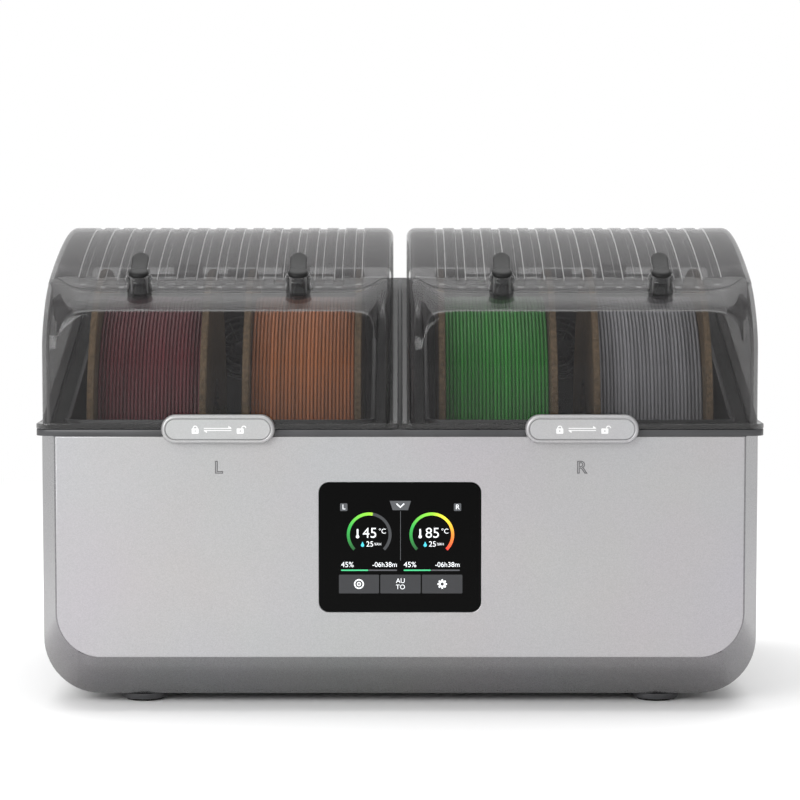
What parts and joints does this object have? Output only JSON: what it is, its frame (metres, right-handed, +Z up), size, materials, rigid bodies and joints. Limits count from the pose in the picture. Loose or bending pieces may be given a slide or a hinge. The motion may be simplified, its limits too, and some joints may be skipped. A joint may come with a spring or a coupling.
{
  "type": "filament dryer box",
  "caption": "Heated dry box with lidded chambers for filament spools, sliding lid latches, plugged filament outlets and a colour display",
  "frame": {"origin": "centre of the whole box's footprint, on the ground under the feet", "axes": "+X along the box's width (to the right seen from the front), +Y to the back, +Z up; the front faces -Y"},
  "size_m": [0.44, 0.286, 0.2913],
  "materials": {
    "panel_silver": "satin silver paint with fine metallic flake on moulded plastic",
    "casing_grey": "satin metallic grey paint on moulded plastic",
    "rim_dark": "dark moulded plastic",
    "tub_black": "black heat-resistant plastic, fine texture",
    "smoked_clear": "smoke-tinted clear polycarbonate, polished",
    "rubber_black": "soft black rubber",
    "steel": "plain machined steel",
    "glass_black": "black-backed cover glass",
    "board_green": "green circuit board",
    "plastic_grey": "dark grey moulded plastic",
    "card_brown": "brown pressed card",
    "filament_maroon": "wound plastic filament, dark red",
    "filament_orange": "wound plastic filament, orange",
    "filament_green": "wound plastic filament, green",
    "filament_grey": "wound plastic filament, light grey"
  },
  "bodies": {
    "base": {"outer_casing": "casing_grey", "front_panel": "panel_silver", "rear_cover": "casing_grey", "rim": "rim_dark", "display_glass": "glass_black", "display_screen": "plastic_grey", "display_board": "board_green", "main_board": "board_green", "power_supply": "plastic_grey", "power_inlet": "tub_black", "foot_front_left": "rubber_black", "foot_front_right": "rubber_black", "foot_rear_left": "rubber_black", "foot_rear_right": "rubber_black", "tub_left": "tub_black", "fan_housing_left": "plastic_grey", "heater_left": "steel", "lid_seal_left": "rubber_black", "hinge_pin_left": "steel", "roller_axle_left_front": "steel", "roller_axle_left_rear": "steel", "tub_right": "tub_black", "fan_housing_right": "plastic_grey", "heater_right": "steel", "lid_seal_right": "rubber_black", "hinge_pin_right": "steel", "roller_axle_right_front": "steel", "roller_axle_right_rear": "steel"},
    "lid_left": {"lid_left": "smoked_clear"},
    "latch_left": {"latch_body_left": "casing_grey", "latch_face_left": "panel_silver"},
    "plug_left_outer": {"plug_left_outer": "rubber_black"},
    "plug_left_inner": {"plug_left_inner": "rubber_black"},
    "fan_left": {"fan_rotor_left": "plastic_grey"},
    "lid_right": {"lid_right": "smoked_clear"},
    "latch_right": {"latch_body_right": "casing_grey", "latch_face_right": "panel_silver"},
    "plug_right_outer": {"plug_right_outer": "rubber_black"},
    "plug_right_inner": {"plug_right_inner": "rubber_black"},
    "fan_right": {"fan_rotor_right": "plastic_grey"},
    "spool_left_outer": {"reel_left_outer": "card_brown", "winding_left_outer": "filament_maroon"},
    "roller_left_outer_front": {"roller_left_outer_front": "rubber_black"},
    "roller_left_outer_rear": {"roller_left_outer_rear": "rubber_black"},
    "spool_left_inner": {"reel_left_inner": "card_brown", "winding_left_inner": "filament_orange"},
    "roller_left_inner_front": {"roller_left_inner_front": "rubber_black"},
    "roller_left_inner_rear": {"roller_left_inner_rear": "rubber_black"},
    "spool_right_outer": {"reel_right_outer": "card_brown", "winding_right_outer": "filament_grey"},
    "roller_right_outer_front": {"roller_right_outer_front": "rubber_black"},
    "roller_right_outer_rear": {"roller_right_outer_rear": "rubber_black"},
    "spool_right_inner": {"reel_right_inner": "card_brown", "winding_right_inner": "filament_green"},
    "roller_right_inner_front": {"roller_right_inner_front": "rubber_black"},
    "roller_right_inner_rear": {"roller_right_inner_rear": "rubber_black"},
    "power_rocker": {"power_switch": "tub_black"}
  },
  "joints": [
    {"name": "lid_left_hinge", "type": "hinge", "parent": "base", "child": "lid_left", "pos_m": [-0.1104, 0.135, 0.258], "axis": [-1, 0, 0], "range_deg": [0, 80]},
    {"name": "latch_left_slide", "type": "slide", "parent": "lid_left", "child": "latch_left", "axis": [-1, 0, 0], "range_m": [0, 0.007]},
    {"name": "plug_left_outer_pull", "type": "slide", "parent": "lid_left", "child": "plug_left_outer", "axis": [0, -0.4226, 0.9063], "range_m": [0, 0.02]},
    {"name": "plug_left_inner_pull", "type": "slide", "parent": "lid_left", "child": "plug_left_inner", "axis": [0, -0.4226, 0.9063], "range_m": [0, 0.02]},
    {"name": "fan_left_spin", "type": "hinge", "parent": "base", "child": "fan_left", "pos_m": [-0.11, 0.1228, 0.2076], "axis": [0, 1, 0], "continuous": true},
    {"name": "lid_right_hinge", "type": "hinge", "parent": "base", "child": "lid_right", "pos_m": [0.1104, 0.135, 0.258], "axis": [-1, 0, 0], "range_deg": [0, 80]},
    {"name": "latch_right_slide", "type": "slide", "parent": "lid_right", "child": "latch_right", "axis": [-1, 0, 0], "range_m": [0, 0.007]},
    {"name": "plug_right_outer_pull", "type": "slide", "parent": "lid_right", "child": "plug_right_outer", "axis": [0, -0.4226, 0.9063], "range_m": [0, 0.02]},
    {"name": "plug_right_inner_pull", "type": "slide", "parent": "lid_right", "child": "plug_right_inner", "axis": [0, -0.4226, 0.9063], "range_m": [0, 0.02]},
    {"name": "fan_right_spin", "type": "hinge", "parent": "base", "child": "fan_right", "pos_m": [0.11, 0.1228, 0.2076], "axis": [0, 1, 0], "continuous": true},
    {"name": "spool_left_outer_spin", "type": "hinge", "parent": "base", "child": "spool_left_outer", "pos_m": [-0.157, 0.008, 0.165], "axis": [1, 0, 0], "continuous": true},
    {"name": "roller_left_outer_front_spin", "type": "hinge", "parent": "base", "child": "roller_left_outer_front", "pos_m": [-0.157, -0.05469, 0.07547], "axis": [1, 0, 0], "continuous": true},
    {"name": "roller_left_outer_rear_spin", "type": "hinge", "parent": "base", "child": "roller_left_outer_rear", "pos_m": [-0.157, 0.07069, 0.07547], "axis": [1, 0, 0], "continuous": true},
    {"name": "spool_left_inner_spin", "type": "hinge", "parent": "base", "child": "spool_left_inner", "pos_m": [-0.061, 0.008, 0.165], "axis": [1, 0, 0], "continuous": true},
    {"name": "roller_left_inner_front_spin", "type": "hinge", "parent": "base", "child": "roller_left_inner_front", "pos_m": [-0.061, -0.05469, 0.07547], "axis": [1, 0, 0], "continuous": true},
    {"name": "roller_left_inner_rear_spin", "type": "hinge", "parent": "base", "child": "roller_left_inner_rear", "pos_m": [-0.061, 0.07069, 0.07547], "axis": [1, 0, 0], "continuous": true},
    {"name": "spool_right_outer_spin", "type": "hinge", "parent": "base", "child": "spool_right_outer", "pos_m": [0.157, 0.008, 0.165], "axis": [1, 0, 0], "continuous": true},
    {"name": "roller_right_outer_front_spin", "type": "hinge", "parent": "base", "child": "roller_right_outer_front", "pos_m": [0.157, -0.05469, 0.07547], "axis": [1, 0, 0], "continuous": true},
    {"name": "roller_right_outer_rear_spin", "type": "hinge", "parent": "base", "child": "roller_right_outer_rear", "pos_m": [0.157, 0.07069, 0.07547], "axis": [1, 0, 0], "continuous": true},
    {"name": "spool_right_inner_spin", "type": "hinge", "parent": "base", "child": "spool_right_inner", "pos_m": [0.061, 0.008, 0.165], "axis": [1, 0, 0], "continuous": true},
    {"name": "roller_right_inner_front_spin", "type": "hinge", "parent": "base", "child": "roller_right_inner_front", "pos_m": [0.061, -0.05469, 0.07547], "axis": [1, 0, 0], "continuous": true},
    {"name": "roller_right_inner_rear_spin", "type": "hinge", "parent": "base", "child": "roller_right_inner_rear", "pos_m": [0.061, 0.07069, 0.07547], "axis": [1, 0, 0], "continuous": true},
    {"name": "power_rocker_tilt", "type": "hinge", "parent": "base", "child": "power_rocker", "pos_m": [-0.134, 0.1375, 0.06], "axis": [1, 0, 0], "range_deg": [0, 12]}
  ],
  "couplings": [
    {"joint": "roller_left_outer_front_spin", "follows": "spool_left_outer_spin", "ratio": -11.111},
    {"joint": "roller_left_outer_rear_spin", "follows": "spool_left_outer_spin", "ratio": -11.111},
    {"joint": "roller_left_inner_front_spin", "follows": "spool_left_inner_spin", "ratio": -11.111},
    {"joint": "roller_left_inner_rear_spin", "follows": "spool_left_inner_spin", "ratio": -11.111},
    {"joint": "roller_right_outer_front_spin", "follows": "spool_right_outer_spin", "ratio": -11.111},
    {"joint": "roller_right_outer_rear_spin", "follows": "spool_right_outer_spin", "ratio": -11.111},
    {"joint": "roller_right_inner_front_spin", "follows": "spool_right_inner_spin", "ratio": -11.111},
    {"joint": "roller_right_inner_rear_spin", "follows": "spool_right_inner_spin", "ratio": -11.111}
  ]
}
